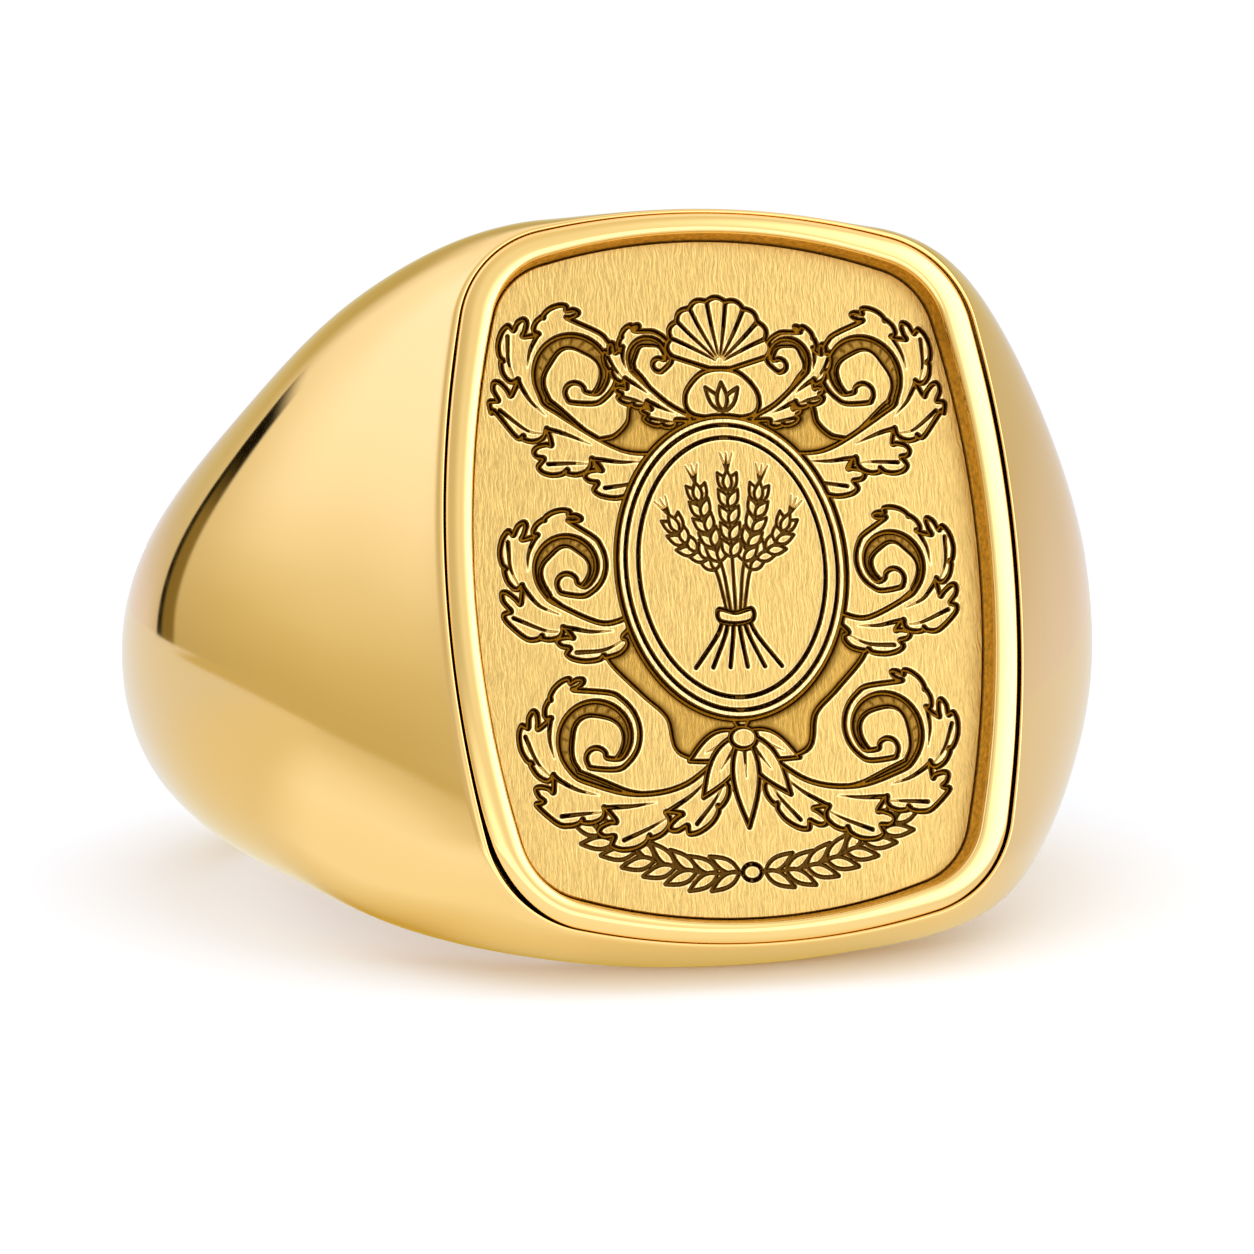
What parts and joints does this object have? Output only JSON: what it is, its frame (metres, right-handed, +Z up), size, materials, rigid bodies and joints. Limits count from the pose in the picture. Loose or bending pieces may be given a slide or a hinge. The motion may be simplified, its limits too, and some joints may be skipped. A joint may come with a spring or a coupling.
{
  "type": "signet ring",
  "caption": "Heavy signet ring with swept shoulders and a tall cushion-shaped engraved plate set inside a raised bezel frame.",
  "frame": {"origin": "centre of the finger hole", "axes": "the ring lies as it rests on a table: +Z up, -Y towards the side that the engraved face looks to, +X across the face to the right of someone facing it; the finger hole's axis leans 15.05 degrees back from +Z towards +Y"},
  "size_m": [0.0258, 0.0263, 0.0177],
  "materials": {
    "polished_gold": "polished",
    "frame_gold": "polished",
    "engraved_gold": "satin",
    "solder": "satin"
  },
  "bodies": {
    "root": {"shank_body": "polished_gold", "bezel_frame": "frame_gold", "face_plate": "engraved_gold", "frame_solder": "solder", "plate_solder": "solder"}
  },
  "joints": []
}
